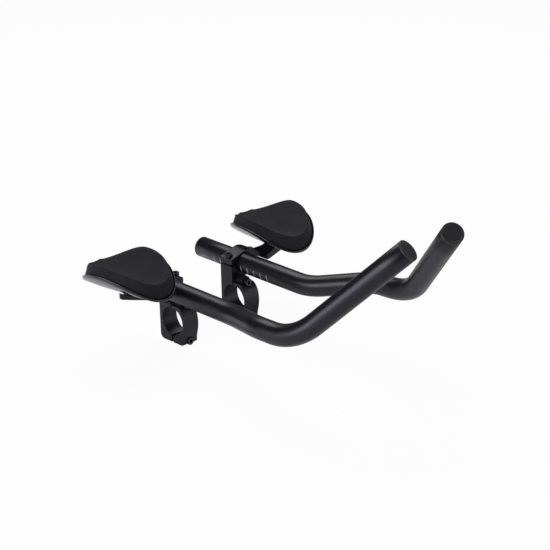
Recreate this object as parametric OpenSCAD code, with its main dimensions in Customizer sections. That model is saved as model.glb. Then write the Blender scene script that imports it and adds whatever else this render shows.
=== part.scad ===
// Clip-on aero bar: a pair of extensions, each with its handlebar clamp and armrest.
// X points to the rider's right, Y forward, Z up. The origin is on the handlebar's
// axis, midway between the two clamps. All sizes are millimetres. The left unit is
// the right unit mirrored in X, so every shape is drawn once, as the right one.

/* [Handlebar clamp] */
// Diameter of the handlebar that the clamp holds
bar_d = 31.8; // [25.4:0.1:35]
// Distance from the middle of the bar to the middle of one clamp
clamp_x = 43; // [41:0.5:46]
// Width of the clamp along the handlebar
clamp_w = 18.8; // [17:0.2:20]
// Wall of the stem block behind the handlebar
rear_wall = 4.3; // [3:0.1:8]
// Gap between the stem block and the bar cap when the bar is clamped
cap_gap = 2.4; // [1:0.1:4]
// Wall of the bar cap at its front
cap_wall = 3.2; // [2.4:0.1:6]
// Material above and below the bar bolts
ear_land = 3.6; // [3:0.1:6]
// Rounding of the stem block's lower rear edge
heel_r = 5.5; // [1:0.5:8]

/* [Extension tube] */
// Outer diameter of the extension tube
tube_d = 22.2; // [20:0.1:24]
// Wall of the extension tube
tube_wall = 1.8; // [1:0.1:3]
// Distance from the middle to the straight part's axis
tube_x = 52; // [51:0.5:56]
// Height of the straight part's axis above the handlebar's axis
tube_z = 35.9; // [34:0.1:42]
// How far the tube's rear end is behind the handlebar's axis
tube_back = 69.6; // [50:0.1:90]
// Length of the straight rear part
rear_len = 151.7; // [120:0.1:200]
// Radius, angle and turn of the first bend, which leads outwards
bend1_r = 64.5; // [40:0.5:90]
// Angle of the first bend
bend1_angle = 25.7; // [0:0.1:45]
// Turn of the first bend about the tube, up from straight outwards
bend1_turn = -29.6; // [-90:0.1:90]
// Straight length between the first and the second bend
mid_len = 45.9; // [10:0.1:80]
// Radius of the second bend, which leads forward again
bend2_r = 60; // [40:0.5:90]
// Angle of the second bend
bend2_angle = 24.7; // [0:0.1:45]
// Turn of the second bend about the tube
bend2_turn = -177.2; // [-180:0.1:180]
// Straight length between the second and the third bend
neck_len = 7; // [1:0.1:40]
// Radius of the third bend, which raises the tip
bend3_r = 63.5; // [40:0.5:90]
// Angle of the third bend
bend3_angle = 48.4; // [0:0.1:80]
// Turn of the third bend about the tube
bend3_turn = 90.1; // [0:0.1:180]
// Length of the straight tip
tip_len = 120; // [60:1:160]

/* [Tube plugs] */
// Thickness of a plug's cap
plug_cap = 2; // [1:0.1:4]
// Depth of the shallow dish in a plug's cap
plug_dish = 0.5; // [0.2:0.1:0.8]
// Length of the plug's spigot inside the tube
plug_len = 12; // [5:0.5:20]
// Gap between the spigot and the tube
plug_clear = 0.05; // [0.02:0.01:0.2]

/* [Tube clamp] */
// Gap between the tube and its clamp, each side
slide_clear = 0.05; // [0.02:0.01:0.1]
// Height of the split line above the tube's axis
split_rise = 0.7; // [0:0.1:2]
// Gap between the stem block and the bracket at the split line
split_gap = 2; // [1:0.1:3]
// Wall of the stem block below the tube
saddle_wall = 3.65; // [2.5:0.05:6]
// Thickness of the stem block's outer flange
flange_t = 8.2; // [6:0.1:10]
// Land between a bolt's hole and the tube's bore
bolt_land = 1.4; // [1:0.1:3]
// Land between a bolt's hole and the outer edge of its flange
edge_land = 1.9; // [1:0.1:4]

/* [Bolts] */
// Thread diameter of the clamp bolts
bolt_d = 5; // [4:0.5:6]
// Head diameter of the clamp bolts
head_d = 8.5; // [7:0.1:10]
// Head height of the clamp bolts
head_h = 5; // [4:0.1:6]
// Width across flats of the hexagon socket
socket_w = 4; // [3:0.1:5]
// Depth of the hexagon socket
socket_h = 2.6; // [1.5:0.1:3.5]
// Length of the bar bolts below the head
bar_bolt_len = 22; // [16:1:24]
// Length of the tube bolts below the head
tube_bolt_len = 14; // [12:1:18]
// Gap between a bolt and its hole, each side
bolt_clear = 0.1; // [0.05:0.05:0.3]
// Gap round a bolt's head in its pocket
head_clear = 0.6; // [0.3:0.1:1.5]

/* [Armrest bracket] */
// Height of the bracket's top over the split line, at its inner edge
bracket_h = 5.8; // [5:0.1:9]
// Rise of the sloping top over the tube, in degrees
bracket_slope = 17.5; // [10:0.5:20]
// Height of the arm's lower front edge at its inner end
arm_z = 32.7; // [31:0.1:34]
// Slope of the arm's lower edge, in degrees
arm_slope = 17.4; // [15:0.1:19]
// Distance from the middle to the arm's inner end
arm_x = 77; // [77:0.5:79]
// Distance from the middle to the arm's outer end
arm_end = 121; // [114:0.5:124]
// How far the arm's front face is ahead of the handlebar's axis
arm_front = 5.3; // [3:0.1:8]
// Thickness of the rib along the arm's front
rib_t = 4.3; // [3:0.1:6]
// Height of the arm's top where it dips beside the tube clamp
dip_z = 39.5; // [38:0.1:41]
// Distance from the middle to the end of the tongue under the cup
tongue_end = 108; // [105:0.5:110]
// How far the tongue reaches behind the handlebar's axis
tongue_back = 12; // [10:0.5:14]

/* [Armrest] */
// Distance from the middle to the armrest's centre
rest_x = 100.2; // [99:0.1:102]
// How far the armrest's centre is behind the handlebar's axis
rest_back = 16.8; // [12:0.1:20]
// Height of the pad's middle
rest_z = 64.1; // [63.5:0.1:66]
// Toe-in of the armrest, in degrees
rest_toe = 6.6; // [0:0.1:12]
// Width of the pad over its wings
pad_w = 70.6; // [60:0.1:90]
// Length of the pad ahead of its centre
pad_front = 54.8; // [45:0.1:70]
// Length of the pad behind its centre
pad_tail = 42; // [35:0.1:60]
// Width of the pad at its rear end
tail_w = 16; // [10:0.5:40]
// Height of the wings over the middle of the pad
wing_h = 18.2; // [5:0.1:24]
// Extra height at the rear end of the pad
tail_h = 2.2; // [0:0.1:8]
// Thickness of the pad
pad_t = 13.9; // [8:0.1:20]
// How far the pad's lower edge stands out beyond its upper edge
pad_flare = 4.5; // [0:0.1:8]
// Gap between the pad and the hook strips
pad_clear = 0.3; // [0.2:0.05:0.6]
// Thickness of a hook strip
hook_t = 1.1; // [0.6:0.1:2]
// Width of a hook strip
hook_w = 14; // [8:1:16]
// Length of a hook strip
hook_len = 22; // [12:1:23]
// Distance from the cup's middle to each hook strip
hook_x = 11; // [10.5:0.1:14]
// Gap between a glued or bolted face and its seat
seat_gap = 0.05; // [0.02:0.01:0.1]
// Thickness of the cup's shell
cup_t = 2.6; // [2:0.1:4]
// How far the cup's rim stands out beyond the pad
cup_lip = 0.8; // [0:0.1:3]
// Share of the cup's outline that its foot takes
foot_share = 0.15; // [0.12:0.01:0.18]
// Height of the cup's foot
foot_h = 0.7; // [0.6:0.1:1.2]
// Distance of the cup's foot ahead of the armrest's centre
foot_y = 12; // [8:0.5:16]

/* [Cup screws] */
// Thread diameter of the cup screws
screw_d = 4; // [3:0.5:5]
// Head diameter of the cup screws
screw_head_d = 8; // [7:0.1:10]
// Head height of the cup screws
screw_head_h = 2.2; // [1.6:0.1:3]
// Distance between the two cup screws
screw_pitch = 11; // [10.5:0.1:12]
// Length of the cup screws below the head
screw_len = 5.5; // [4:0.1:6]
// Shell left under a cup screw's head
screw_land = 1.6; // [1.2:0.1:3]
/* [Hidden] */
$fn = 64;
eps = 0.01;

// Clamp, worked out from the bar and the tube
bar_r = bar_d / 2;
tube_r = tube_d / 2;
clamp_in = clamp_x - clamp_w / 2;
clamp_out = clamp_x + clamp_w / 2;
stem_rear = -(bar_r + rear_wall);
stem_front = -cap_gap;
bore_r = tube_r + slide_clear;
hole_r = bolt_d / 2 + bolt_clear;
pocket_r = head_d / 2 + head_clear;
split_z = tube_z + split_rise;
stem_top = split_z - split_gap / 2;
bracket_foot = split_z + split_gap / 2;
bolt_y = (stem_rear + stem_front) / 2;
bar_bolt_z = bar_r + bolt_land + hole_r;
stem_foot = -(bar_bolt_z + ear_land);
bolt_in_x = tube_x - bore_r - bolt_land - hole_r;
bolt_out_x = tube_x + bore_r + bolt_land + hole_r;
flange_x = bolt_out_x + hole_r + edge_land;
saddle_r = bore_r + saddle_wall;
cap_front = bar_r + cap_wall;
cap_top = bar_r + 2.6;
cap_seat = cap_front - 10;
cap_toe_seat = cap_front - 6.6;
cap_toe = cap_front - 3;

// Heights of the bolt seats on the bracket
seat_in_z = bracket_foot + bracket_h - 0.6;
seat_out_z = bracket_foot + 3.6;

// Armrest surfaces, in the armrest's own frame
rest_slope_x = 0.016;
rest_slope_y = 0.023;
front_power = 2.14;
tail_power = 1.94;
cup_top = -(pad_t + pad_clear + hook_t + seat_gap);
function outline_half(y) = y > 0
    ? pad_w / 2 * pow(max(0, 1 - pow(y / pad_front, front_power)), 1 / front_power)
    : pad_w / 2 - (pad_w - tail_w) / 2 * pow(-y / pad_tail, tail_power);
function dish(x, y) = wing_h * pow(2 * x / pad_w, 2)
    + (y < 0 ? tail_h * pow(y / pad_tail, 2) : 0)
    + rest_slope_x * x + rest_slope_y * y;

// Outline of the pad's upper edge, counter-clockwise from the front tip
front_steps = 10;
tail_steps = 6;
half_ys = concat(
    [for (i = [1:front_steps]) pad_front * cos(90 * i / front_steps)],
    [for (i = [1:tail_steps]) -pad_tail * i / tail_steps]);
left_edge = [for (y = half_ys) [-outline_half(y), y]];
right_edge = [for (i = [len(half_ys) - 1:-1:0]) [outline_half(half_ys[i]), half_ys[i]]];
rest_outline = concat([[0, pad_front]], left_edge, right_edge);

// Point of the outline scaled about the foot's centre by a share, and moved out by a flare
function ring_point(p, share, flare) =
    let (v = p - [0, foot_y], n = v / norm(v))
    [0, foot_y] + share * v + flare * n;

// Lower edge of the bracket's arm, and its top, which follows the cup's underside
screw_x = rest_x - foot_y * sin(rest_toe);
screw_y = foot_y * cos(rest_toe) - rest_back;
function arm_foot(x) = arm_z + (x - arm_x) * tan(arm_slope);
function cradle(x) = rest_z + dish(x - screw_x, foot_y) + cup_top - cup_t - foot_h;

// Height in the armrest's frame of the cup's seat under a point of that frame
function seat_height(x, y) =
    cradle(rest_x + x * cos(rest_toe) - y * sin(rest_toe)) + seat_gap - rest_z;

// Closed solid from rings [share, flare, drop, on_seat], from the top's middle to the
// bottom's middle. A ring on the seat lies on the bracket's arm.
module dished(rings) {
    count = len(rest_outline);
    last = len(rings) - 1;
    function height(x, y, ring) = ring[3] ? seat_height(x, y) : dish(x, y) + ring[2];
    points = concat(
        [[0, foot_y, height(0, foot_y, rings[0])]],
        [for (i = [1:last - 1]) for (p = rest_outline)
            let (q = ring_point(p, rings[i][0], rings[i][1]))
            [q[0], q[1], height(q[0], q[1], rings[i])]],
        [[0, foot_y, height(0, foot_y, rings[last])]]);
    end = len(points) - 1;
    faces = concat(
        [for (j = [0:count - 1]) [0, 1 + (j + 1) % count, 1 + j]],
        [for (i = [0:last - 3]) for (j = [0:count - 1])
            let (a = 1 + i * count + j, b = 1 + i * count + (j + 1) % count)
            [a, b, b + count]],
        [for (i = [0:last - 3]) for (j = [0:count - 1])
            let (a = 1 + i * count + j, b = 1 + i * count + (j + 1) % count)
            [a, b + count, a + count]],
        [for (j = [0:count - 1])
            [end, end - count + j, end - count + (j + 1) % count]]);
    polyhedron(points, faces, convexity = 6);
}

// Points of an arc and of a cubic curve
function arc(centre, r, from, to, steps) =
    [for (i = [0:steps]) let (a = from + (to - from) * i / steps)
        centre + r * [cos(a), sin(a)]];
function curve(a, b, c, d, steps) =
    [for (i = [0:steps]) let (t = i / steps, s = 1 - t)
        s * s * s * a + 3 * s * s * t * b + 3 * s * t * t * c + t * t * t * d];

// Outline drawn in X and Z, made solid from one Y to another
module along_y(from, to) {
    translate([0, to, 0]) rotate([90, 0, 0]) linear_extrude(to - from) children();
}
// Outline drawn in Y and Z, made solid from one X to another
module along_x(from, to) {
    translate([from, 0, 0]) rotate([90, 0, 90]) linear_extrude(to - from) children();
}
// Round hole or pin along Y, between two places
module rod_y(x, z, r, from, to) {
    translate([x, from, z]) rotate([-90, 0, 0]) cylinder(r = r, h = to - from);
}

// Socket-head bolt, its seat at the origin and its shank along -Z
module socket_bolt(length) {
    difference() {
        union() {
            translate([0, 0, -length]) cylinder(d = bolt_d, h = length + eps);
            cylinder(d = head_d, h = head_h - 0.5);
            translate([0, 0, head_h - 0.5 - eps])
                cylinder(d1 = head_d, d2 = head_d - 1, h = 0.5 + eps);
        }
        translate([0, 0, head_h - socket_h])
            cylinder(d = socket_w / cos(30), h = socket_h + 1, $fn = 6);
    }
}

// Extension tube: three bends between straights
straights = [rear_len, mid_len, neck_len, tip_len];
bends = [[bend1_r, bend1_angle, bend1_turn], [bend2_r, bend2_angle, bend2_turn],
    [bend3_r, bend3_angle, bend3_turn]];

// Carries its children to the start of a straight
module at_straight(i) {
    if (i == 0) translate([tube_x, -tube_back, tube_z]) children();
    else at_straight(i - 1) translate([0, straights[i - 1], 0]) rotate([0, bends[i - 1][2], 0])
        translate([bends[i - 1][0] * (1 - cos(bends[i - 1][1])),
            bends[i - 1][0] * sin(bends[i - 1][1]), 0])
        rotate([0, 0, -bends[i - 1][1]]) children();
}
// Frames [place, side, ahead, up] along the bent front of the tube, without twist
function turned(f, a) =
    [f[0], cos(a) * f[1] - sin(a) * f[3], f[2], sin(a) * f[1] + cos(a) * f[3]];
function bent(f, r, a) = [f[0] + r * (1 - cos(a)) * f[1] + r * sin(a) * f[2],
    cos(a) * f[1] - sin(a) * f[2], cos(a) * f[2] + sin(a) * f[1], f[3]];
function ahead(f, l) = [f[0] + l * f[2], f[1], f[2], f[3]];
bend_steps = [6, 6, 10];
function path(i, turn, f, over) = i == len(bends) ? [f, ahead(f, tip_len + over)] :
    let (b = bends[i], t = turn + b[2], g = turned(f, t), steps = bend_steps[i],
        arcs = [for (k = [1:steps]) turned(bent(g, b[0], b[1] * k / steps), -t)],
        next = i + 1 < len(bends) ? ahead(arcs[steps - 1], straights[i + 1]) : arcs[steps - 1])
    concat([f], i + 1 < len(bends) ? arcs : [for (k = [0:steps - 2]) arcs[k]],
        path(i + 1, t, next, over));
front_end = [[tube_x, rear_len - tube_back, tube_z], [1, 0, 0], [0, 1, 0], [0, 0, 1]];
tube_sides = 40;

// Round bar along the tube's bent front, begun inside the straight rear part
module bent_bar(r, over) {
    frames = concat([ahead(front_end, -1)], path(0, 0, front_end, over));
    count = len(frames);
    points = [for (i = [0:count - 1]) for (j = [0:tube_sides - 1])
        let (f = frames[i], a = 360 * j / tube_sides, q = i == 0 ? r - 0.6 : i == 1 ? r - 0.01 : r)
        f[0] + q * (cos(a) * f[1] + sin(a) * f[3])];
    faces = concat(
        [[for (j = [tube_sides - 1:-1:0]) j]],
        [for (i = [0:count - 2]) for (j = [0:tube_sides - 1])
            let (a = i * tube_sides, k = (j + 1) % tube_sides)
            [a + j, a + k, a + tube_sides + k]],
        [for (i = [0:count - 2]) for (j = [0:tube_sides - 1])
            let (a = i * tube_sides, k = (j + 1) % tube_sides)
            [a + j, a + tube_sides + k, a + tube_sides + j]],
        [[for (j = [0:tube_sides - 1]) (count - 1) * tube_sides + j]]);
    polyhedron(points, faces, convexity = 8);
}
module extension_tube() color("#26262a") {
    bore = tube_r - tube_wall;
    difference() {
        union() {
            rod_y(tube_x, tube_z, tube_r, -tube_back, rear_len - tube_back);
            bent_bar(tube_r, 0);
        }
        rod_y(tube_x, tube_z, bore, -tube_back - 1, rear_len - tube_back);
        bent_bar(bore, 1);
    }
}
// Plug with a dished cap, its cap outwards along +Y
module plug() {
    rotate([-90, 0, 0]) rotate_extrude() polygon([
        [0, -plug_len], [tube_r - tube_wall - plug_clear - 0.6, -plug_len],
        [tube_r - tube_wall - plug_clear, -plug_len + 0.6],
        [tube_r - tube_wall - plug_clear, seat_gap], [tube_r, seat_gap],
        [tube_r, plug_cap - 0.6], [tube_r - 0.6, plug_cap],
        [tube_r - 1.6, plug_cap], [tube_r - 3, plug_cap - plug_dish],
        [0, plug_cap - plug_dish]]);
}
module tip_plug() color("#1b1b1d") {
    at_straight(3) translate([0, tip_len, 0]) plug();
}
module rear_plug() color("#1b1b1d") {
    at_straight(0) rotate([0, 0, 180]) plug();
}

// Stem block: rear half of the bar clamp below, lower half of the tube clamp above
module stem_front_view() {
    polygon(concat(
        [[clamp_in, stem_foot], [clamp_out, stem_foot]],
        arc([tube_x, tube_z], saddle_r, -asin(0) - 88, -36, 7),
        [[flange_x, stem_top - flange_t], [flange_x, stem_top], [clamp_in, stem_top]]));
}
module stem_side_view() {
    polygon(concat(
        arc([stem_rear + heel_r, stem_foot + heel_r], heel_r, 180, 270, 8),
        [[stem_front, stem_foot], [stem_front, stem_top], [stem_rear, stem_top]]));
}
module clamp_body() color("#2f2f33") {
    difference() {
        intersection() {
            along_y(stem_rear, stem_front) stem_front_view();
            along_x(clamp_in - 1, flange_x + 1) stem_side_view();
        }
        translate([clamp_in - 1, 0, 0]) rotate([0, 90, 0]) cylinder(r = bar_r, h = clamp_w + 2);
        rod_y(tube_x, tube_z, bore_r, stem_rear - 1, stem_front + 1);
        for (z = [-bar_bolt_z, bar_bolt_z])
            rod_y(clamp_x, z, hole_r, stem_rear + 2.2, stem_front + 1);
        translate([bolt_in_x, bolt_y, stem_top - 16]) cylinder(r = hole_r, h = 17);
        translate([bolt_out_x, bolt_y, stem_top - flange_t - 1])
            cylinder(r = hole_r, h = flange_t + 2);
    }
}

// Bar cap: front half of the bar clamp
module cap_side_view() {
    polygon(concat(
        [[0, cap_top], [cap_front - 11.5, cap_top]],
        curve([cap_front - 11.5, cap_top], [cap_front - 4.5, cap_top],
            [cap_front, cap_top * 0.55], [cap_front, 0], 8),
        curve([cap_front, 0], [cap_front, -8], [cap_toe + 1.2, -11], [cap_toe, -18], 6),
        arc([cap_toe - 3, stem_foot + 3], 3, 0, -90, 4),
        [[0, stem_foot]]));
}
module bar_cap() color("#2f2f33") {
    difference() {
        union() {
            along_x(clamp_in, clamp_out) cap_side_view();
            rod_y(clamp_x, bar_bolt_z, pocket_r + 1.1, 0, cap_seat);
        }
        translate([clamp_in - 1, 0, 0]) rotate([0, 90, 0]) cylinder(r = bar_r, h = clamp_w + 2);
        translate([clamp_x, 0, bar_bolt_z]) rotate([-90, 0, 0]) {
            translate([0, 0, -1]) cylinder(r = hole_r, h = cap_front);
            translate([0, 0, cap_seat]) cylinder(r = pocket_r, h = cap_front);
        }
        translate([clamp_x, 0, -bar_bolt_z]) rotate([-90, 0, 0]) {
            translate([0, 0, -1]) cylinder(r = hole_r, h = cap_front);
            translate([0, 0, cap_toe_seat]) cylinder(r = pocket_r, h = cap_front);
        }
    }
}
module bar_bolts() color("#3a3a3e") {
    translate([clamp_x, cap_seat + seat_gap, bar_bolt_z]) rotate([-90, 0, 0])
        socket_bolt(bar_bolt_len);
    translate([clamp_x, cap_toe_seat + seat_gap, -bar_bolt_z]) rotate([-90, 0, 0])
        socket_bolt(bar_bolt_len);
}

// Armrest bracket: upper half of the tube clamp, with the arm that carries the cup
crown_x = tube_x;
crown_z = bracket_foot + bracket_h + (crown_x - clamp_in) * tan(bracket_slope);
dip_x = arm_x + 1.5;
meet_x = arm_x + 16;
module bracket_front_view() {
    polygon(concat(
        [[clamp_in, bracket_foot], [clamp_in, bracket_foot + bracket_h]],
        curve([crown_x, crown_z], [crown_x + 6, crown_z + 1.9], [crown_x + 15, crown_z],
            [dip_x - 4, dip_z + 1.1], 10),
        curve([dip_x - 2, dip_z + 0.2], [dip_x + 2, dip_z - 0.6],
            [meet_x - 4, cradle(meet_x) - 0.6], [meet_x, cradle(meet_x)], 8),
        [for (i = [1:9]) let (x = meet_x + (arm_end - meet_x) * i / 9) [x, cradle(x)]],
        [[arm_end, arm_foot(arm_end) + 1.2], [arm_end - 1.2, arm_foot(arm_end - 1.2)]],
        curve([arm_x + 4, arm_foot(arm_x + 4)], [arm_x, arm_foot(arm_x)],
            [flange_x + 3, bracket_foot], [flange_x, bracket_foot], 6)));
}
module bracket_top_view() {
    rib_back = arm_front - rib_t;
    polygon(concat(
        [[clamp_in, stem_rear]],
        curve([arm_x, stem_rear], [arm_x + 6, stem_rear], [arm_x + 7, -tongue_back],
            [arm_x + 14, -tongue_back], 6),
        arc([tongue_end - 6, 6 - tongue_back], 6, -90, 0, 6),
        arc([tongue_end + 3, rib_back - 3], 3, 180, 90, 5),
        arc([arm_end - 2, rib_back + 2], 2, -90, 0, 4),
        arc([arm_end - 2, arm_front - 2], 2, 0, 90, 4),
        arc([arm_x + 2, arm_front - 2], 2, 90, 180, 4),
        [[arm_x, stem_front], [clamp_in, stem_front]]));
}
// Carries its children to the two cup screws, at the arm's top
module screw_places() {
    for (x = [screw_x - screw_pitch / 2, screw_x + screw_pitch / 2])
        translate([x, screw_y, cradle(x)]) children();
}
module armrest_bracket() color("#2b2b2f") {
    difference() {
        intersection() {
            along_y(stem_rear - 1, arm_front + 1) bracket_front_view();
            linear_extrude(2 * crown_z) bracket_top_view();
        }
        rod_y(tube_x, tube_z, bore_r, stem_rear - 2, arm_front + 2);
        for (place = [[bolt_in_x, seat_in_z], [bolt_out_x, seat_out_z]])
            translate([place[0], bolt_y, 0]) {
                translate([0, 0, bracket_foot - 1]) cylinder(r = hole_r, h = 20);
                translate([0, 0, place[1]]) cylinder(r = pocket_r, h = 20);
            }
        screw_places() translate([0, 0, -14]) cylinder(r = screw_d / 2 + bolt_clear, h = 16);
    }
}
module tube_bolts() color("#3a3a3e") {
    translate([bolt_in_x, bolt_y, seat_in_z + seat_gap]) socket_bolt(tube_bolt_len);
    translate([bolt_out_x, bolt_y, seat_out_z + seat_gap]) socket_bolt(tube_bolt_len);
}

// Armrest: cup with its foot, screws, hook strips and pad
module at_rest() {
    translate([rest_x, -rest_back, rest_z]) rotate([0, 0, rest_toe]) children();
}
module armrest_cup() color("#1d1d20") {
    rim = pad_flare + cup_lip;
    cup_foot = cup_top - cup_t;
    difference() {
        at_rest() dished(concat(
            [[0, 0, cup_top, false]],
            [for (share = [0.2:0.2:0.8]) [share, 0, cup_top, false]],
            [[1, rim - 1.2, cup_top, false], [1, rim, cup_top - 0.3, false],
                [1, rim + 0.4, cup_top - cup_t / 2, false], [1, rim, cup_foot + 0.3, false],
                [0.97, rim - 1.2, cup_foot, false]],
            [for (share = [0.8:-0.2:0.4]) [share, 0, cup_foot, false]],
            [[foot_share + 0.05, 0, cup_foot, false], [foot_share, 0, 0, true],
                [0, 0, 0, true]]));
        screw_places() {
            translate([0, 0, -2]) cylinder(r = screw_d / 2 + bolt_clear, h = 12);
            translate([0, 0, screw_land]) cylinder(r = screw_head_d / 2 + head_clear, h = 12);
        }
    }
}
module cup_screws() color("#3a3a3e") {
    screw_places() translate([0, 0, screw_land + seat_gap]) difference() {
        union() {
            translate([0, 0, -screw_len]) cylinder(d = screw_d, h = screw_len + eps);
            cylinder(d1 = screw_head_d, d2 = screw_head_d - 1.4, h = screw_head_h);
        }
        translate([0, 0, screw_head_h - 1.2]) cylinder(d = 2.5 / cos(30), h = 2, $fn = 6);
    }
}
// Two strips that follow the cup's hollow, one on each side of the screws
strip_steps = 8;
module hook_strip(from) {
    strip_y = [foot_y - hook_len / 2, foot_y + hook_len / 2];
    base = cup_top + seat_gap;
    lift = 0.23; // keeps flat faces of the hollow below the strip
    function x_at(i) = from + hook_w * i / strip_steps;
    points = [for (i = [0:strip_steps]) for (c = [[0, 0], [1, 0], [1, 1], [0, 1]])
        [x_at(i), strip_y[c[0]], dish(x_at(i), strip_y[c[0]]) + base + c[1] * hook_t + lift]];
    faces = concat([[0, 1, 2, 3]],
        [for (i = [0:strip_steps - 1]) for (j = [0:3])
            let (a = 4 * i + j, b = 4 * i + (j + 1) % 4) [a, a + 4, b + 4, b]],
        [[4 * strip_steps + 3, 4 * strip_steps + 2, 4 * strip_steps + 1, 4 * strip_steps]]);
    polyhedron(points, faces, convexity = 4);
}
module hook_strips() color("#101012") {
    at_rest() for (from = [-hook_x - hook_w, hook_x]) hook_strip(from);
}
module armrest_pad() color("#2d2c30") {
    at_rest() dished(concat(
        [[0, 0, 0, false]],
        [for (share = [0.2:0.2:0.8]) [share, 0, 0, false]],
        [[1, -1.8, 0, false], [1, 0.2, -1.4, false], [1, pad_flare * 0.6, -pad_t * 0.55, false],
            [1, pad_flare, -pad_t + 1, false], [1, pad_flare - 1.2, -pad_t, false]],
        [for (share = [0.8:-0.2:0.2]) [share, 0, -pad_t, false]],
        [[0, 0, -pad_t, false]]));
}

// The two sides
module right_extension_tube() extension_tube();
module left_extension_tube() mirror([1, 0, 0]) extension_tube();
module right_tip_plug() tip_plug();
module left_tip_plug() mirror([1, 0, 0]) tip_plug();
module right_rear_plug() rear_plug();
module left_rear_plug() mirror([1, 0, 0]) rear_plug();
module right_clamp_body() clamp_body();
module left_clamp_body() mirror([1, 0, 0]) clamp_body();
module right_bar_cap() bar_cap();
module left_bar_cap() mirror([1, 0, 0]) bar_cap();
module right_bar_bolts() bar_bolts();
module left_bar_bolts() mirror([1, 0, 0]) bar_bolts();
module right_armrest_bracket() armrest_bracket();
module left_armrest_bracket() mirror([1, 0, 0]) armrest_bracket();
module right_tube_bolts() tube_bolts();
module left_tube_bolts() mirror([1, 0, 0]) tube_bolts();
module right_armrest_cup() armrest_cup();
module left_armrest_cup() mirror([1, 0, 0]) armrest_cup();
module right_cup_screws() cup_screws();
module left_cup_screws() mirror([1, 0, 0]) cup_screws();
module right_hook_strips() hook_strips();
module left_hook_strips() mirror([1, 0, 0]) hook_strips();
module right_armrest_pad() armrest_pad();
module left_armrest_pad() mirror([1, 0, 0]) armrest_pad();

right_extension_tube();
right_tip_plug();
right_rear_plug();
right_clamp_body();
right_bar_cap();
right_bar_bolts();
right_armrest_bracket();
right_tube_bolts();
right_armrest_cup();
right_cup_screws();
right_hook_strips();
right_armrest_pad();
left_extension_tube();
left_tip_plug();
left_rear_plug();
left_clamp_body();
left_bar_cap();
left_bar_bolts();
left_armrest_bracket();
left_tube_bolts();
left_armrest_cup();
left_cup_screws();
left_hook_strips();
left_armrest_pad();
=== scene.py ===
# %% [markdown]
# # Clip-on aero bar
# Two bent extensions, each with a handlebar clamp and a padded armrest. The clamps,
# brackets, plugs and screws come from the CAD model and only get a finish here. The
# tubes, cups and pads are made again as smooth meshes, because their curves need more
# points than the solids have. Everything is in metres, with X to the rider's right,
# Y forward and Z up, and the origin on the handlebar's axis.

# %% Load the frame
import math
import bmesh
import bpy
from mathutils import Matrix, Vector


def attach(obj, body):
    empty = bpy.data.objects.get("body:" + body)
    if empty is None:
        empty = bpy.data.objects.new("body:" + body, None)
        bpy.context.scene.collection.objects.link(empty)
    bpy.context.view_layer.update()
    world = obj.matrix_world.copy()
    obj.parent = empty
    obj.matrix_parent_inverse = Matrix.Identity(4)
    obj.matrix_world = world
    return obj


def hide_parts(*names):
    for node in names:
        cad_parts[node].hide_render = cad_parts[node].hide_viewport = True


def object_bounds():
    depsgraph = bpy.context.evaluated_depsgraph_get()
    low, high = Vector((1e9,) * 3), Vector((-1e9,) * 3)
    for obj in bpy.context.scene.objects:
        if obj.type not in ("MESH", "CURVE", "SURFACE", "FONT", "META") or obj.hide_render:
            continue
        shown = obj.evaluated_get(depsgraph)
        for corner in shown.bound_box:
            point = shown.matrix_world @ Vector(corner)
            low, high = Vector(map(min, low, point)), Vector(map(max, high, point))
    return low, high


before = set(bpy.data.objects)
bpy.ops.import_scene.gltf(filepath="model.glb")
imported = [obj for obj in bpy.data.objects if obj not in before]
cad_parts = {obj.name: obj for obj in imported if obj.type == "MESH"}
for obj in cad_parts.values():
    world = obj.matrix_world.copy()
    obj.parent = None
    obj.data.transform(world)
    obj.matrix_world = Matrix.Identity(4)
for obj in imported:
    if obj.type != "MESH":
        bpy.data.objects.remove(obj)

cad_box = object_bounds()
MM = 0.001
SIDES = ("right", "left")
FIXED = "clamps_and_armrests"

# %% [markdown]
# ## Camera
# The view looks down and back at the part from its front right. A long lens keeps
# the perspective weak. The camera is turned by three angles about the point that it
# looks at. A track constraint would do as well, but it can't give the small roll.

# %% Camera
LOOK_AT = Vector((-0.00213, 0.09589, 0.02509))
AROUND, ABOVE, ROLL = math.radians(137.349), math.radians(23.011), math.radians(-1.243)
DISTANCE = 1.73613
PICTURE = 550
FOCAL_PIXELS = 1710.9
CENTRE_PIXELS = (273.5, 309.8)
SENSOR = 36

away = Vector((math.sin(AROUND) * math.cos(ABOVE), -math.cos(AROUND) * math.cos(ABOVE),
               math.sin(ABOVE)))
level = Vector((math.cos(AROUND), math.sin(AROUND), 0))
raised = away.cross(level)
across = math.cos(ROLL) * level + math.sin(ROLL) * raised
upward = math.cos(ROLL) * raised - math.sin(ROLL) * level
camera_data = bpy.data.cameras.new("camera")
camera = bpy.data.objects.new("camera", camera_data)
bpy.context.scene.collection.objects.link(camera)
camera.matrix_world = Matrix.Translation(LOOK_AT + DISTANCE * away) @ Matrix(
    (across, upward, away)).transposed().to_4x4()
camera_data.sensor_width = SENSOR
camera_data.lens = SENSOR * FOCAL_PIXELS / PICTURE
camera_data.shift_x = (PICTURE / 2 - CENTRE_PIXELS[0]) / PICTURE
camera_data.shift_y = (CENTRE_PIXELS[1] - PICTURE / 2) / PICTURE
bpy.context.scene.camera = camera
print("lens", round(camera_data.lens, 1), "mm")

# %% [markdown]
# ## Shader maths as plain expressions
# A material is a graph of nodes. Wiring it by hand hides the idea behind it, so one
# small class wraps a socket and lets Python's own operators add the Math nodes. The
# reflected forms let a plain number stand on the left, as in 1 - mask.

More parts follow.
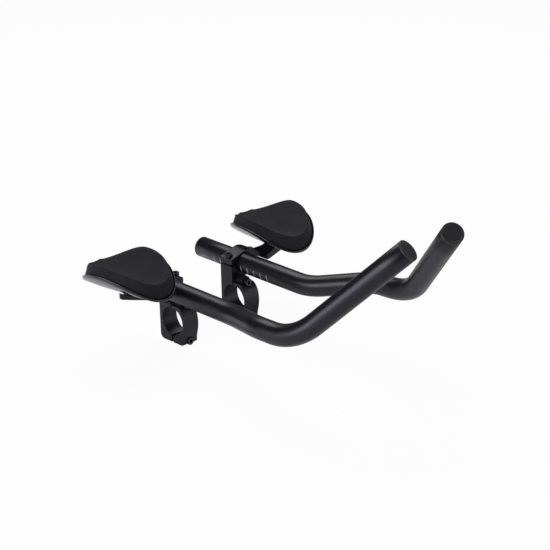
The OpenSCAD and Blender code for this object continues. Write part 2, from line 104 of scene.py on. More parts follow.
# %% Wires
class Wire:
    """An output socket that can stand in a sum or a product."""

    def __init__(self, graph, socket):
        self.graph = graph
        self.socket = socket

    def _math(self, operation, first, second):
        node = self.graph.add("ShaderNodeMath", {"operation": operation}, {0: first, 1: second})
        return node["Value"]

    def __add__(self, other):
        return self._math("ADD", self, other)

    def __radd__(self, other):
        return self._math("ADD", other, self)

    def __sub__(self, other):
        return self._math("SUBTRACT", self, other)

    def __rsub__(self, other):
        return self._math("SUBTRACT", other, self)

    def __mul__(self, other):
        return self._math("MULTIPLY", self, other)

    def __rmul__(self, other):
        return self._math("MULTIPLY", other, self)


print("shader maths ready")

# %% [markdown]
# ## One way to add a node
# Every other node comes from one method, in a material and in the world alike. It
# takes the node's type, then its settings, then the values or wires of its sockets.
# The settings come first, because some of them change which sockets a node has.

# %% Graph
class Added:
    """A node, whose outputs are read as wires by name."""

    def __init__(self, graph, node):
        self.graph = graph
        self.node = node

    def __getitem__(self, name):
        return Wire(self.graph, self.node.outputs[name])


class Graph:
    """A tree of nodes that grows by one method."""

    def __init__(self, tree):
        self.tree = tree

    def add(self, kind, settings, values):
        node = self.tree.nodes.new(kind)
        for name, value in settings.items():
            if name == "stops":
                for element, (place, shade) in zip(node.color_ramp.elements, value):
                    element.position = place
                    element.color = (*shade, 1)
            else:
                setattr(node, name, value)
        for name, value in values.items():
            if isinstance(value, Wire):
                self.tree.links.new(value.socket, node.inputs[name])
            else:
                node.inputs[name].default_value = value
        return Added(self, node)

    def lead(self, wire, node, name):
        """Leads a wire into a socket of a node that is there already."""
        self.tree.links.new(wire.socket, self.tree.nodes[node].inputs[name])


print("graph ready")

# %% [markdown]
# ## A finish is one Principled shader
# Each real finish is one material. Its fixed values are typed on the shader. What
# changes over the surface is noise in the object's own space, so it needs no
# unwrapping and stays with the piece when that moves. A bump gives relief that is too
# fine to model, and the Bevel node below it rounds the shading at sharp edges.

# %% Finish
PRINCIPLED = "Principled BSDF"
RAMP_LOW, RAMP_HIGH = 0.3, 0.7
BEVEL_SAMPLES = 6


class Finish(Graph):
    """A material with one Principled shader."""

    def __init__(self, name, colour, **fixed):
        self.material = bpy.data.materials.new(name)
        self.material.use_nodes = True
        super().__init__(self.material.node_tree)
        self.shader = self.tree.nodes[PRINCIPLED]
        self.shader.inputs["Base Color"].default_value = (*colour, 1)
        for socket, value in fixed.items():
            self.shader.inputs[socket.replace("_", " ")].default_value = value

    def feed(self, name, wire):
        self.lead(wire, PRINCIPLED, name)

    def place(self):
        return self.add("ShaderNodeTexCoord", {}, {})["Object"]

    def grain(self, size, detail=2.0):
        """Noise from 0 to 1 whose spots are about size metres wide."""
        noise = self.add("ShaderNodeTexNoise", {}, {
            "Vector": self.place(), "Scale": 1 / size, "Detail": detail})
        return noise["Fac"]

    def tint(self, mask, dark, light):
        """Base colour between two shades, by a mask."""
        stops = [(RAMP_LOW, dark), (RAMP_HIGH, light)]
        ramp = self.add("ShaderNodeValToRGB", {"stops": stops}, {"Fac": mask})
        self.feed("Base Color", ramp["Color"])

    def wear(self, roughness, below, above, mask):
        """Roughness that goes from below its usual value to above it, by a mask."""
        self.feed("Roughness", roughness - below + (below + above) * mask)

    def relief(self, height, depth, edge=0.0):
        """Bump of a depth in metres, over edges that look rounded by a radius."""
        values = {"Height": height, "Distance": depth}
        if edge:
            bevel = self.add("ShaderNodeBevel", {"samples": BEVEL_SAMPLES}, {"Radius": edge})
            values["Normal"] = bevel["Normal"]
        self.feed("Normal", self.add("ShaderNodeBump", {}, values)["Normal"])


def shades(base, spread):
    """A darker and a lighter shade of one colour."""
    return tuple(c * (1 - spread) for c in base), tuple(c * (1 + spread) for c in base)


print("finish ready")

# %% [markdown]
# ## Blasted metal
# The tubes are aluminium, blasted and anodised black, so they are satin, with a fine
# even grain and no brush lines. The clamps and brackets are forged and blasted a
# little coarser, and their edges are broken by half a millimetre. The Bevel node is
# cheaper there than real bevels on exact solids. Black metal shows little colour of its
# own: most of what is seen is its sheen, which is slightly violet.

# %% Blasted metal
TUBE_BLACK = (0.0036, 0.0033, 0.0056)
CLAMP_GREY = (0.0100, 0.0094, 0.0130)
BRACKET_GREY = (0.0080, 0.0076, 0.0104)
COOL_SHEEN = (0.93, 0.90, 1.0)
PATCH_SIZE, PATCH_SPREAD = 14 * MM, 0.12
BLAST_DEPTH = 0.016 * MM
BROKEN_EDGE = 0.5 * MM


def blasted_metal(name, colour, roughness, gloss, grain_size, edge):
    finish = Finish(name, colour, Roughness=roughness, Specular_IOR_Level=gloss,
                    Specular_Tint=(*COOL_SHEEN, 1))
    patches = finish.grain(PATCH_SIZE, detail=3.0)
    fine = finish.grain(grain_size)
    finish.tint(patches, *shades(colour, PATCH_SPREAD))
    finish.wear(roughness, 0.04, 0.04, patches)
    finish.relief(fine, BLAST_DEPTH, edge)
    return finish.material


tube_metal = blasted_metal("anodised_tube", TUBE_BLACK, roughness=0.35, gloss=0.5,
                           grain_size=0.30 * MM, edge=0)
clamp_metal = blasted_metal("forged_clamp", CLAMP_GREY, roughness=0.46, gloss=0.36,
                            grain_size=0.40 * MM, edge=BROKEN_EDGE)
bracket_metal = blasted_metal("forged_bracket", BRACKET_GREY, roughness=0.42, gloss=0.40,
                              grain_size=0.40 * MM, edge=BROKEN_EDGE)
print("blasted metal on tubes, clamps and brackets")

# %% [markdown]
# ## Oiled steel
# The screws are steel with a black oxide, which is a bare metal surface that oil has
# darkened. So they are fully metallic, and small rubbed spots are brighter.

# %% Oiled steel
BOLT_BLACK = (0.070, 0.070, 0.076)
RUB_SIZE, RUB_SPREAD, RUB_DEPTH = 1.5 * MM, 0.25, 0.01 * MM
BOLT_EDGE = 0.25 * MM


def oiled_steel(name, colour, roughness):
    finish = Finish(name, colour, Metallic=1.0, Roughness=roughness)
    rub = finish.grain(RUB_SIZE, detail=3.0)
    finish.tint(rub, *shades(colour, RUB_SPREAD))
    finish.wear(roughness, 0.06, 0.08, rub)
    finish.relief(rub, RUB_DEPTH, BOLT_EDGE)
    return finish.material


bolt_steel = oiled_steel("black_bolts", BOLT_BLACK, roughness=0.30)
print("oiled steel on screws")

# %% [markdown]
# ## Moulded plastic
# The cups are moulded in a polished tool and come out glossy. The plugs are matt. Both
# carry a very faint ripple, which keeps a highlight on plastic from being perfect.

# %% Moulded plastic
CUP_BLACK = (0.012, 0.012, 0.014)
PLUG_BLACK = (0.020, 0.019, 0.022)
FLOW_SIZE, FLOW_SPREAD = 22 * MM, 0.10
RIPPLE_SIZE, MOULD_EDGE = 1.2 * MM, 0.2 * MM


def moulded_plastic(name, colour, roughness, ripple):
    finish = Finish(name, colour, Roughness=roughness, Specular_IOR_Level=0.5)
    flow = finish.grain(FLOW_SIZE)
    finish.tint(flow, *shades(colour, FLOW_SPREAD))
    finish.wear(roughness, 0.03, 0.03, flow)
    finish.relief(finish.grain(RIPPLE_SIZE), ripple, MOULD_EDGE)
    return finish.material


cup_plastic = moulded_plastic("glossy_cup", CUP_BLACK, roughness=0.13, ripple=0.004 * MM)
plug_plastic = moulded_plastic("matt_plug", PLUG_BLACK, roughness=0.55, ripple=0.005 * MM)
print("plastic on cups and plugs")

# %% [markdown]
# ## Knitted cloth and hook tape
# The pads have a fine knitted face. A knit is two waves that cross: their product
# gives small cells, and noise breaks up the pattern so that it doesn't look printed.
# A little sheen stands for the loose fibres that catch light at a flat angle. The hook
# tape below the pad is the same weave, only coarser and deeper.

# %% Knitted cloth
PAD_CHARCOAL = (0.0220, 0.0205, 0.0242)
TAPE_BLACK = (0.010, 0.010, 0.011)
FIBRE_GREY = (0.55, 0.54, 0.58)
WORN_SIZE, FUZZ_SIZE, CLOTH_SPREAD = 18 * MM, 0.9 * MM, 0.30
WAVE_LENGTH = 0.31  # of a wave texture whose scale is 1, in metres


def stitches(finish, direction, cell):
    """Waves across the cloth in one direction, one for each stitch."""
    return finish.add("ShaderNodeTexWave", {"bands_direction": direction}, {
        "Vector": finish.place(), "Scale": WAVE_LENGTH / cell, "Distortion": 0.6,
        "Detail Scale": 2.0})["Fac"]


def knit(name, colour, cell, depth):
    finish = Finish(name, colour, Roughness=0.92, Sheen_Weight=0.08, Sheen_Roughness=0.45,
                    Sheen_Tint=(*FIBRE_GREY, 1), Specular_IOR_Level=0.18)
    worn = finish.grain(WORN_SIZE, detail=4.0)
    fuzz = finish.grain(FUZZ_SIZE, detail=3.0)
    cells = stitches(finish, "X", cell) * stitches(finish, "Y", cell)
    finish.tint(0.55 * worn + 0.25 * fuzz + 0.20 * cells, *shades(colour, CLOTH_SPREAD))
    finish.feed("Roughness", 0.96 - 0.10 * worn)
    finish.relief(0.6 * cells + 0.4 * fuzz, depth)
    return finish.material


pad_cloth = knit("pad_knit", PAD_CHARCOAL, cell=0.9 * MM, depth=0.10 * MM)
hook_tape = knit("hook_tape", TAPE_BLACK, cell=1.4 * MM, depth=0.4 * MM)
print("cloth on pads and hook strips")

# %% [markdown]
# ## Dress the CAD nodes
# Each kind of node is made of one material, on both sides alike. The tubes, cups and
# pads are dressed as well, although smooth meshes replace them further down, so that
# a solid that shows for any reason still has its true colour.

# %% Dress the CAD nodes
NODE_FINISH = {
    "clamp_body": clamp_metal, "bar_cap": clamp_metal, "armrest_bracket": bracket_metal,
    "bar_bolts": bolt_steel, "tube_bolts": bolt_steel, "cup_screws": bolt_steel,
    "hook_strips": hook_tape, "tip_plug": plug_plastic,
    "rear_plug": plug_plastic, "extension_tube": tube_metal, "armrest_cup": cup_plastic,
    "armrest_pad": pad_cloth}
for side in SIDES:
    for kind, material in NODE_FINISH.items():
        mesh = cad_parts[side + "_" + kind].data
        mesh.materials.clear()
        mesh.materials.append(material)
print("dressed", len(NODE_FINISH) * len(SIDES), "nodes")

# %% [markdown]
# ## Skin from rings
# Tubes, cups and pads are all made of rings of points. One function joins rings into
# a closed skin, either ending in a point at both ends or meeting itself again. Lofts
# of curves would do as well, but here each ring lies just where a formula puts it.

# %% Skin
def skin(name, rings, start=None, end=None, material=None):
    mesh = bpy.data.meshes.new(name)
    build = bmesh.new()
    rows = [[build.verts.new(p) for p in points] for points in rings]
    count = len(rows[0])
    pairs = list(zip(rows, rows[1:]))
    if start is None:
        pairs.append((rows[-1], rows[0]))
    for low, high in pairs:
        for j in range(count):
            k = (j + 1) % count
            build.faces.new((low[j], low[k], high[k], high[j]))
    if start is not None:
        first, last = build.verts.new(start), build.verts.new(end)
        for j in range(count):
            k = (j + 1) % count
            build.faces.new((first, rows[0][k], rows[0][j]))
            build.faces.new((last, rows[-1][j], rows[-1][k]))
    bmesh.ops.recalc_face_normals(build, faces=build.faces)
    for face in build.faces:
        face.smooth = True
    build.to_mesh(mesh)
    build.free()
    mesh.materials.append(material)
    piece = bpy.data.objects.new(name, mesh)
    bpy.context.scene.collection.objects.link(piece)
    return piece


print("skin ready")

# %% [markdown]
# ## Both sides, and one piece at a time
# The left unit mirrors the right one, so only the right pieces are made. Turning a mesh
# over also turns its faces inside out, so they are flipped back. Blender's operators
# work on what is selected, and a helper selects one piece before a modifier is applied.

# %% Mirror and apply
def mirrored(piece, name):
    """A copy of a piece on the other side of the plane X = 0."""
    twin = bpy.data.objects.new(name, piece.data.copy())
    bpy.context.scene.collection.objects.link(twin)
    twin.data.transform(Matrix.Diagonal((-1, 1, 1, 1)))
    twin.data.flip_normals()
    return twin


def only(piece):
    """Makes a piece the one that operators work on."""
    bpy.ops.object.select_all(action="DESELECT")
    piece.select_set(True)
    bpy.context.view_layer.objects.active = piece


def apply_all(piece):
    only(piece)
    for modifier in list(piece.modifiers):
        bpy.ops.object.modifier_apply(modifier=modifier.name)


def middle(points):
    return sum(points, Vector()) / len(points)


print("mesh helpers ready")

# %% [markdown]
# ## Path of the extension tube
# The real tube is bent on a machine: straight, bend, straight, bend, and so on, and
# between bends the tube is turned about itself. The same steps are walked here, in
# millimetres. Each bend has its radius, its angle, and the turn before it in degrees.

# %% Tube path
TUBE_X, TUBE_Z, TUBE_BACK = 52.0, 35.9, 69.6
STRAIGHTS = [151.7, 45.9, 7.0, 120.0]
BENDS = [(64.5, 25.7, -29.6), (60.0, 24.7, -177.2), (63.5, 48.4, 90.1)]
STRAIGHT_STEPS, BEND_STEP, FEWEST_STEPS = 4, 2.5, 6


def tube_path():
    """Frames along the tube's axis that turn with it but don't twist."""
    place = Vector((TUBE_X, -TUBE_BACK, TUBE_Z))
    turn = Matrix.Identity(3)
    frames = [(place, turn)]
    total = 0.0
    for i, length in enumerate(STRAIGHTS):
        for step in range(1, STRAIGHT_STEPS + 1):
            frames.append((place + turn.col[1] * length * step / STRAIGHT_STEPS, turn))
        place = place + turn.col[1] * length
        if i == len(BENDS):
            break
        radius, angle, about = BENDS[i]
        total += about
        steps = max(FEWEST_STEPS, round(angle / BEND_STEP))
        start, base = place, turn
        twist = Matrix.Rotation(math.radians(total), 3, "Y")
        for step in range(1, steps + 1):
            part = math.radians(angle * step / steps)
            curve = twist @ Matrix.Rotation(-part, 3, "Z") @ twist.inverted()
            shift = twist @ Vector((radius * (1 - math.cos(part)), radius * math.sin(part), 0))
            place, turn = start + base @ shift, base @ curve
            frames.append((place, turn))
    return frames


path = tube_path()
print("tube tip at", [round(c, 1) for c in path[-1][0]])

# %% [markdown]
# ## Skin of the extension tube
# Rings stand on the path: first along the outside, then back through the bore, where
# they meet the first ring again. So the tube is a real tube with a wall, and its cut
# ends have a small broken edge. A curve object with a round section could draw it
# too, but it has no bore.

# %% Tube skin
TUBE_R, TUBE_WALL, END_EDGE = 11.1, 1.8, 0.35
TUBE_SIDES = 72


def tube_ring(at, radius, ahead=0.0):
    """A ring about the tube's axis, some way ahead of a frame."""
    place, turn = at
    points = []
    for j in range(TUBE_SIDES):
        a = 2 * math.pi * j / TUBE_SIDES
        spoke = Vector((radius * math.cos(a), ahead, radius * math.sin(a)))
        points.append((place + turn @ spoke) * MM)
    return points


outer = [tube_ring(path[0], TUBE_R - END_EDGE), tube_ring(path[0], TUBE_R, END_EDGE)]
outer += [tube_ring(at, TUBE_R) for at in path[1:-1]]
outer += [tube_ring(path[-1], TUBE_R, -END_EDGE), tube_ring(path[-1], TUBE_R - END_EDGE)]
inner = [tube_ring(at, TUBE_R - TUBE_WALL) for at in reversed(path)]
right_tube = skin("right_tube_smooth", outer + inner, material=tube_metal)
left_tube = mirrored(right_tube, "left_tube_smooth")
for side, piece in (("right", right_tube), ("left", left_tube)):
    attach(piece, side + "_extension")
    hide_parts(side + "_extension_tube")
print("tube faces", len(right_tube.data.polygons))

# %% [markdown]
# ## Scale marks
# Light grey marks are printed on each tube every 10 mm, so that both sides can be set
# alike, and a fine line runs along its rear end. An image would print them too, but
# small plates need none. Each mark is a curved plate of 0.03 mm that stands only
# 0.01 mm out of the tube, so that it slides through the clamp.

# %% Printed patch
MARK_SUNK, MARK_THICK = 0.02, 0.03
INK_GREY, INK_THIN, INK_FULL = (0.62, 0.62, 0.64), (0.40, 0.40, 0.42), (0.70, 0.70, 0.72)

scale_ink = Finish("scale_ink", INK_GREY, Roughness=0.6)
scale_ink.tint(scale_ink.grain(0.5 * MM), INK_THIN, INK_FULL)


def printed_patch(name, y_from, y_to, angle_from, angle_to, steps):
    """A patch of ink on the tube's inboard side, between two angles above level."""
    foot = TUBE_R - MARK_SUNK
    rings = []
    for i in range(steps + 1):
        a = math.radians(180 + angle_from + (angle_to - angle_from) * i / steps)
        corners = []
        for y, out in ((y_from, 0.0), (y_to, 0.0), (y_to, MARK_THICK), (y_from, MARK_THICK)):
            r = foot + out
            corners.append(Vector((TUBE_X + r * math.cos(a), y, TUBE_Z - r * math.sin(a))) * MM)
        rings.append(corners)
    return skin(name, rings, middle(rings[0]), middle(rings[-1]), scale_ink.material)


print("ink ready")

# %% Scale marks
MARK_PITCH, MARK_WIDE = 10.0, 0.9
MARK_PLACES = [-40.0 + MARK_PITCH * i for i in range(2)]
MARK_PLACES += [3.0 + MARK_PITCH * i for i in range(5)]
MARK_LOW, MARK_HIGH, MARK_STEPS = -36, 2, 8
LINE_FROM, LINE_TO, LINE_LOW, LINE_HIGH, LINE_STEPS = -62.0, -46.0, -22, -19.5, 2

marks = [printed_patch("mark_%d" % number, y, y + MARK_WIDE, MARK_LOW, MARK_HIGH, MARK_STEPS)
         for number, y in enumerate(MARK_PLACES)]
marks.append(printed_patch("mark_line", LINE_FROM, LINE_TO, LINE_LOW, LINE_HIGH, LINE_STEPS))
only(marks[0])
for mark in marks:
    mark.select_set(True)
bpy.ops.object.join()
right_marks = marks[0]
right_marks.name = "right_scale_marks"
left_marks = mirrored(right_marks, "left_scale_marks")
for side, piece in (("right", right_marks), ("left", left_marks)):
    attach(piece, side + "_extension")
print("marks", len(MARK_PLACES) + 1, "a side")

# %% [markdown]
# ## Armrest shape
# Cup and pad share one form: an egg-shaped plan with a narrow cut tail at the rear,
# bent up into wings on both sides, tilted a little and toed in. A few formulas give
# it, as they do in the CAD model, so the smooth meshes lie where the solids are.

# %% Armrest outline
PAD_W, PAD_FRONT, PAD_TAIL, TAIL_W = 70.6, 54.8, 42.0, 16.0
WING, TAIL_H = 18.2, 2.2
FRONT_POWER, TAIL_POWER = 2.14, 1.94
SLOPE_X, SLOPE_Y = 0.016, 0.023


def half_width(y):
    if y > 0:
        share = max(0.0, 1 - (y / PAD_FRONT) ** FRONT_POWER)
        return PAD_W / 2 * share ** (1 / FRONT_POWER)
    return PAD_W / 2 - (PAD_W - TAIL_W) / 2 * (-y / PAD_TAIL) ** TAIL_POWER


def dish(x, y):
    """Height of the armrest's face over its middle."""
    rise = TAIL_H * (y / PAD_TAIL) ** 2 if y < 0 else 0
    return WING * (2 * x / PAD_W) ** 2 + rise + SLOPE_X * x + SLOPE_Y * y


def outline(front_steps, tail_steps, end_steps):
    """Points of the plan, from the front over the inboard side and round."""
    ys = [PAD_FRONT * math.cos(math.pi / 2 * i / front_steps) for i in range(1, front_steps + 1)]
    ys += [-PAD_TAIL * i / tail_steps for i in range(1, tail_steps + 1)]
    left = [(-half_width(y), y) for y in ys]
    right = [(half_width(y), y) for y in reversed(ys)]
    end = [(-TAIL_W / 2 + TAIL_W * i / end_steps, -PAD_TAIL) for i in range(1, end_steps)]
    return [Vector(p) for p in [(0, PAD_FRONT)] + left + end + right]


cup_plan = outline(22, 14, 5)
pad_plan = outline(40, 26, 8)
print("outline", len(cup_plan), "points for the cup,", len(pad_plan), "for the pad")

# %% [markdown]
# ## Rings of the armrest
# Each ring is the plan at some share of its size, moved out or in by a flare and hung
# below the dish by a drop. The cup's and the pad's sections are then short lists of
# such rings. The pad's top also carries a low lip along its tail.

# %% Armrest rings
REST_AT = Vector((100.2, -16.8, 64.1))
REST_TOE = math.radians(6.6)
TOE_IN = Matrix.Rotation(REST_TOE, 3, "Z")
FOOT_Y = 12.0
TAIL_LIP_H, TAIL_LIP_LEN, TAIL_LIP_RISE = 1.1, 2.0, 1.2


def tail_lip(y):
    """Height of the low lip that stands along the tail of the pad's top."""
    return TAIL_LIP_H * min(1.0, max(0.0, (-y - PAD_TAIL + TAIL_LIP_LEN) / TAIL_LIP_RISE))


def ring(points, share, flare, drop, lip=0.0):
    """The plan scaled about the foot, moved out and hung from the dish."""
    centre = Vector((0, FOOT_Y))
    made = []
    for p in points:
        v = p - centre
        q = centre + v * share + v.normalized() * flare
        height = dish(q.x, q.y) + drop + lip * tail_lip(q.y)
        made.append((REST_AT + TOE_IN @ Vector((q.x, q.y, height))) * MM)
    return made


def centre_point(drop):
    """The point over the foot in which a skin of rings ends."""
    return (REST_AT + TOE_IN @ Vector((0, FOOT_Y, dish(0, FOOT_Y) + drop))) * MM


print("foot of the armrest at", [round(c, 4) for c in centre_point(0)])

# %% [markdown]
# ## Armrest cup
# The cup is a thin glossy moulding under the pad. Its rim stands a little proud of
# the pad and shows as a fine bright line. The bracket's arm follows its hollow, and
# the cup sits there on a low foot, where two screws hold it. The rings run from the
# middle of the hollow over the rim and back below to the foot.

# %% Cup
PAD_T, PAD_FLARE, PAD_CLEAR = 13.9, 4.5, 0.3
HOOK_T, SEAT_GAP = 1.1, 0.05
CUP_T, CUP_LIP = 2.6, 0.8
FOOT_SHARE, FOOT_H = 0.15, 0.7
CUP_TOP = -(PAD_T + PAD_CLEAR + HOOK_T + SEAT_GAP)
CUP_UNDER = CUP_TOP - CUP_T
CUP_RIM = PAD_FLARE + CUP_LIP
HOLLOW_SHARES = (0.15, 0.3, 0.45, 0.6, 0.75, 0.88)
UNDER_SHARES = (0.88, 0.75, 0.6, 0.45, 0.3, 0.2)
RIM_SECTION = ((-1.4, 0), (-0.6, 0.15), (-0.2, 0.55), (0.15, 0.6), (0.4, 0.2), (0.5, -0.7),
               (0.3, -1.5), (-0.2, -2.2))
RIM_INSET, FOOT_FLARE, FOOT_CENTRE = 1.6, 0.02, 0.08
screw_x = REST_AT.x - FOOT_Y * math.sin(REST_TOE)
screw_y = REST_AT.y + FOOT_Y * math.cos(REST_TOE)


def cradle(x):
    """Height of the arm's top, which follows the cup's underside."""
    return REST_AT.z + dish(x - screw_x, FOOT_Y) + CUP_UNDER - FOOT_H


def seat_ring(points, share):
    """The foot's outline, laid on the bracket's arm."""
    return [Vector((p.x, p.y, (cradle(p.x / MM) + SEAT_GAP) * MM))
            for p in ring(points, share, 0, 0)]


cup_rings = [ring(cup_plan, share, 0, CUP_TOP) for share in HOLLOW_SHARES]
cup_rings += [ring(cup_plan, 1, CUP_RIM + out, CUP_TOP + up) for out, up in RIM_SECTION]
cup_rings += [ring(cup_plan, 1, CUP_RIM - RIM_INSET, CUP_UNDER)]
cup_rings += [ring(cup_plan, share, 0, CUP_UNDER) for share in UNDER_SHARES]
cup_rings += [ring(cup_plan, FOOT_SHARE + FOOT_FLARE, 0, CUP_UNDER)]
seat = seat_ring(cup_plan, FOOT_SHARE)
cup_rings += [seat, seat_ring(cup_plan, FOOT_CENTRE)]
right_cup = skin("right_cup_smooth", cup_rings, centre_point(CUP_TOP), middle(seat), cup_plastic)
print("cup faces", len(right_cup.data.polygons))

# %% [markdown]
# ## Screw holes in the cup
# Each screw passes through the cup and its head sits in a wider pocket. Both are cut
# with the exact Boolean, which leaves the true round walls. Rings about the holes
# would need a mesh of another layout.

# %% Cup holes
SCREW_PITCH, SCREW_LAND = 11.0, 1.6
SHANK_HOLE_R, HEAD_HOLE_R, HOLE_SIDES = 2.1, 4.6, 48
HOLE_LOW, HOLE_HIGH, POCKET_HIGH = -1, 6, 12


def drill(piece, x, y, radius, low, high):
    """Cuts an upright round hole, from low to high above the arm's top."""
    bpy.ops.mesh.primitive_cylinder_add(vertices=HOLE_SIDES, radius=radius * MM,
                                        depth=(high - low) * MM)
    tool = bpy.context.object
    tool.location = Vector((x, y, cradle(x) + (low + high) / 2)) * MM
    cut = piece.modifiers.new("hole", "BOOLEAN")
    cut.operation = "DIFFERENCE"
    cut.object = tool
    cut.solver = "EXACT"
    apply_all(piece)
    bpy.data.objects.remove(tool)


for shift in (-SCREW_PITCH / 2, SCREW_PITCH / 2):
    drill(right_cup, screw_x + shift, screw_y, SHANK_HOLE_R, HOLE_LOW, HOLE_HIGH)
    drill(right_cup, screw_x + shift, screw_y, HEAD_HOLE_R, SCREW_LAND, POCKET_HIGH)
left_cup = mirrored(right_cup, "left_cup_smooth")
for side, piece in (("right", right_cup), ("left", left_cup)):
    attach(piece, FIXED)
    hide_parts(side + "_armrest_cup")
print("cup faces with holes", len(right_cup.data.polygons))

# %% [markdown]
# ## Armrest pad
# The pad is a moulded foam block with a knitted face. Its top folds crisply into the
# side wall, the wall leans out to the cup's rim, and the lower edge turns in. The rings
# are close together at the fold and evenly spaced elsewhere.

# %% Pad
PAD_EDGE = PAD_FLARE - 0.9
TOP_SHARES = [share / 20 for share in range(2, 19)] + [0.93]
FOLD_SECTION = ((-2.2, 0.1, 1), (-1.3, 0.1, 1), (-0.6, 0.1, 0.9), (0, -0.5, 0.5), (0.2, -1.5, 0))
WALL_STEPS, WALL_LEAN, WALL_INSET = 8, 1.1, 0.14
HEM_SECTION = ((0, 0.3), (-0.4, -0.6), (-1.6, -0.9))
BASE_DROP = -PAD_T - 0.6
BASE_SHARES = [share / 20 for share in range(17, 2, -2)]

pad_rings = [ring(pad_plan, share, 0, 0, 1) for share in TOP_SHARES]
pad_rings += [ring(pad_plan, 1, out, up, lip) for out, up, lip in FOLD_SECTION]
for step in range(2, WALL_STEPS):
    down = step / WALL_STEPS
    pad_rings.append(ring(pad_plan, 1, PAD_EDGE * (down * WALL_LEAN - WALL_INSET), -PAD_T * down))
pad_rings += [ring(pad_plan, 1, PAD_EDGE + out, -PAD_T + up) for out, up in HEM_SECTION]
pad_rings += [ring(pad_plan, 1, 0, BASE_DROP)]
pad_rings += [ring(pad_plan, share, 0, -PAD_T) for share in BASE_SHARES]
right_pad = skin("right_pad_knit", pad_rings, centre_point(0), centre_point(-PAD_T), pad_cloth)
print("pad faces", len(right_pad.data.polygons))

# %% [markdown]
# ## Foam under fabric
# A cloth simulation with a little pressure inside gives the pad the slight swell of
# foam under fabric. Cloth wants even faces, which a voxel remesh would give, but that
# also leaves steps along the fold. The pad's own rings are even enough, and a limit on
# the travel keeps the fold sharp. One subdivision then rounds it.

# %% Swell
SWELL_PRESSURE, SWELL_MOST, SWELL_FRAMES = 3.0, 0.35 * MM, 20
FABRIC_STIFFNESS = 40


def swell(piece, pressure, most):
    """Blows a pad up like cloth over foam, moving no point by more than most."""
    rest = [v.co.copy() for v in piece.data.vertices]
    cloth = piece.modifiers.new("foam", "CLOTH")
    cloth.settings.use_pressure = True
    cloth.settings.uniform_pressure_force = pressure
    cloth.settings.effector_weights.gravity = 0
    cloth.settings.tension_stiffness = FABRIC_STIFFNESS
    cloth.settings.compression_stiffness = FABRIC_STIFFNESS
    scene = bpy.context.scene
    for number in range(1, SWELL_FRAMES + 1):
        scene.frame_set(number)
    apply_all(piece)
    scene.frame_set(1)
    farthest = 0.0
    for v, home in zip(piece.data.vertices, rest):
        travel = v.co - home
        farthest = max(farthest, travel.length)
        if travel.length > most:
            v.co = home + travel * (most / travel.length)
    print("pad swelled by", round(farthest / MM, 2), "mm at most, cut to", round(most / MM, 2))


def finer(piece):
    """One level of subdivision, which rounds the fold."""
    level = piece.modifiers.new("finer", "SUBSURF")
    level.levels = 1
    apply_all(piece)
    for face in piece.data.polygons:
        face.use_smooth = True


swell(right_pad, SWELL_PRESSURE, SWELL_MOST)
finer(right_pad)
left_pad = mirrored(right_pad, "left_pad_knit")
for side, piece in (("right", right_pad), ("left", left_pad)):
    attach(piece, FIXED)
    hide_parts(side + "_armrest_pad")
print("pad faces after subdivision", len(right_pad.data.polygons))

# %% [markdown]
# ## Floor
# The product is shown on plain white. The floor lies just under the clamps. The
# camera sees it as flat white, mixed with a little of its own shading so that a faint
# shadow stays. A bright lamp on a white floor would be simpler, but it would also
# bleach the part.

# %% Floor
FLOOR_Z = cad_box[0][2] - 0.002
FLOOR_SIZE = 30
PAPER_WHITE = (0.86, 0.86, 0.86)
FLAT_SHARE = 0.95

bpy.ops.mesh.primitive_plane_add(size=FLOOR_SIZE, location=(0, 0, FLOOR_Z))
floor = bpy.context.object
floor.name = "floor"
paper = Finish("white_paper", PAPER_WHITE, Roughness=1.0, Specular_IOR_Level=0.0)
seen = paper.add("ShaderNodeLightPath", {}, {})["Is Camera Ray"]
glow = paper.add("ShaderNodeEmission", {}, {"Color": (1, 1, 1, 1), "Strength": 1.0})
mixed = paper.add("ShaderNodeMixShader", {}, {
    "Fac": FLAT_SHARE * seen, 1: Wire(paper, paper.shader.outputs[0]), 2: glow["Emission"]})
paper.lead(mixed["Shader"], "Material Output", "Surface")
floor.data.materials.append(paper.material)
print("floor at", round(FLOOR_Z, 4))

# %% [markdown]
# ## World
# The world is white for the camera and for rays that pass through things. Black metal
# lives from dark surroundings, so its mirror rays see only a small share of that
# white, and a small share lights the shaded sides.

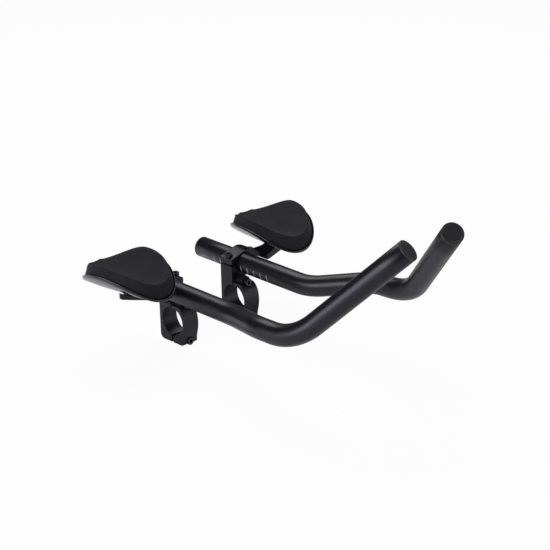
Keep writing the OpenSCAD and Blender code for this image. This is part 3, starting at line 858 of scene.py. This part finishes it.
# %% World
AMBIENT, MIRRORED = 0.16, 0.05

world = bpy.data.worlds.new("white_studio")
bpy.context.scene.world = world
world.use_nodes = True
sky = Graph(world.node_tree)
rays = sky.add("ShaderNodeLightPath", {}, {})
sky.tree.nodes["Background"].inputs["Color"].default_value = (1, 1, 1, 1)
direct = rays["Is Camera Ray"] + rays["Is Transmission Ray"] + MIRRORED * rays["Is Glossy Ray"]
strength = AMBIENT * rays["Is Diffuse Ray"] + direct
sky.lead(strength, "Background", "Strength")
print("world light", AMBIENT, "mirrored", MIRRORED)

# %% [markdown]
# ## Lamps
# A wide soft lamp low on the right draws the long highlights on the tubes. One
# overhead, a little behind, lights the floor and the pads, and a weak one fills from
# the front left. Large rectangles are used, because a satin tube shows a lamp as a
# stripe, and a small lamp would make it thin and hard.

# %% Lamps
COOL_WHITE = (0.95, 0.935, 1.0)
AIM = Vector((0, 0.09, 0.03))


def towards(around, above, distance):
    """A place seen from AIM, by degrees from straight ahead to the right, and upward."""
    a, e = math.radians(around), math.radians(above)
    return AIM + distance * Vector((math.sin(a) * math.cos(e), math.cos(a) * math.cos(e),
                                    math.sin(e)))


def soft_lamp(name, place, width, height, power):
    data = bpy.data.lights.new(name, "AREA")
    data.shape = "RECTANGLE"
    data.size, data.size_y = width, height
    data.energy = power
    data.color = COOL_WHITE
    lamp = bpy.data.objects.new(name, data)
    bpy.context.scene.collection.objects.link(lamp)
    lamp.location = place
    lamp.rotation_euler = (AIM - place).to_track_quat("-Z", "Y").to_euler()


soft_lamp("right_box", towards(97, 16, 1.9), width=1.75, height=1.0, power=25)
soft_lamp("overhead_box", towards(215, 60, 1.7), width=1.5, height=1.5, power=22)
soft_lamp("left_fill", towards(320, 10, 1.9), width=1.6, height=0.8, power=10)
print("lamps", len(bpy.data.lights))

# %% [markdown]
# ## Colour
# The Standard view shows colours as they are written.

# %% Colour
bpy.context.scene.view_settings.view_transform = "Standard"
